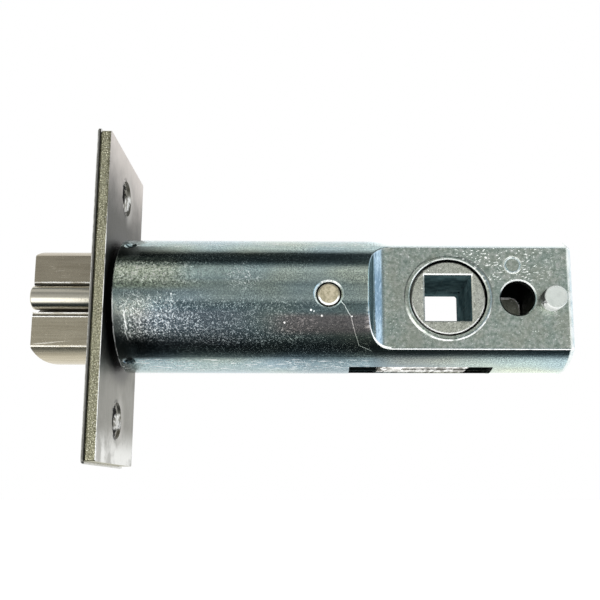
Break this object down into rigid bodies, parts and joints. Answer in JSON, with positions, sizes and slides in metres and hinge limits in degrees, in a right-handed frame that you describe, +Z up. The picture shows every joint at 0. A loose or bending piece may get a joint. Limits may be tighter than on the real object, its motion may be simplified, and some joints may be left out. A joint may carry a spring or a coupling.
{
  "type": "deadlatch",
  "caption": "Tubular deadlatch: flat faceplate, spring bolt with a deadlocking plunger, round zinc-plated case with flat-sided tail, square-drive hub and fixing hole.",
  "frame": {"origin": "centre of the faceplate's rear face, its seat, midway between its two screw holes", "axes": "+X from the faceplate along the tube to the tail, +Z up along the faceplate's length, Y along the spindle"},
  "size_m": [0.0931, 0.0254, 0.057],
  "materials": {
    "faceplate_steel": "satin stainless",
    "backing_steel": "blanked steel",
    "dark_steel": "black oxide",
    "zinc_case": "bright zinc plate",
    "cast_zinc": "as cast",
    "hub_zinc": "satin",
    "bright_pin": "ground",
    "nickel_bolt": "satin nickel",
    "spring_steel": "drawn wire",
    "strip_steel": "bright pressed steel",
    "black_plastic": "moulded"
  },
  "bodies": {
    "case": {"outer_faceplate": "faceplate_steel", "inner_faceplate": "backing_steel", "front_collar": "dark_steel", "case_tube": "zinc_case", "tail_plug": "cast_zinc", "packing_plate": "dark_steel", "window_strip": "strip_steel", "tail_peg": "bright_pin", "guide_block": "black_plastic", "guide_pin": "bright_pin", "pawl_pin": "bright_pin", "pawl_spring": "spring_steel", "bolt_spring": "spring_steel", "plunger_spring": "spring_steel"},
    "bolt": {"latch_bolt": "nickel_bolt", "draw_rod": "dark_steel", "rod_pin": "bright_pin", "retractor": "cast_zinc"},
    "hub": {"hub_cam": "cast_zinc", "hub_bush_near": "hub_zinc", "hub_bush_far": "hub_zinc"},
    "plunger": {"deadlock_plunger": "nickel_bolt", "plunger_stem": "dark_steel"},
    "pawl": {"locking_pawl": "dark_steel"}
  },
  "joints": [
    {"name": "hub_turn", "type": "hinge", "parent": "case", "child": "hub", "pos_m": [0.0577, 0, 0], "axis": [0, 1, 0], "range_deg": [0, 67]},
    {"name": "bolt_slide", "type": "slide", "parent": "case", "child": "bolt", "axis": [1, 0, 0], "range_m": [0, 0.0114], "stiffness_N_per_m": 300, "springref_m": -0.008, "deforming": ["bolt_spring"]},
    {"name": "plunger_slide", "type": "slide", "parent": "case", "child": "plunger", "axis": [1, 0, 0], "range_m": [0, 0.0113], "stiffness_N_per_m": 120, "springref_m": -0.006, "deforming": ["plunger_spring"]},
    {"name": "pawl_swing", "type": "hinge", "parent": "case", "child": "pawl", "pos_m": [0.03715, 0, -0.00045], "axis": [0, 1, 0], "range_deg": [0, 11], "deforming": ["pawl_spring"]}
  ],
  "couplings": [
    {"joint": "hub_turn", "follows": "bolt_slide", "rad_per_m": 102.58},
    {"joint": "pawl_swing", "follows": "plunger_slide", "rad_per_m": 16.99}
  ]
}
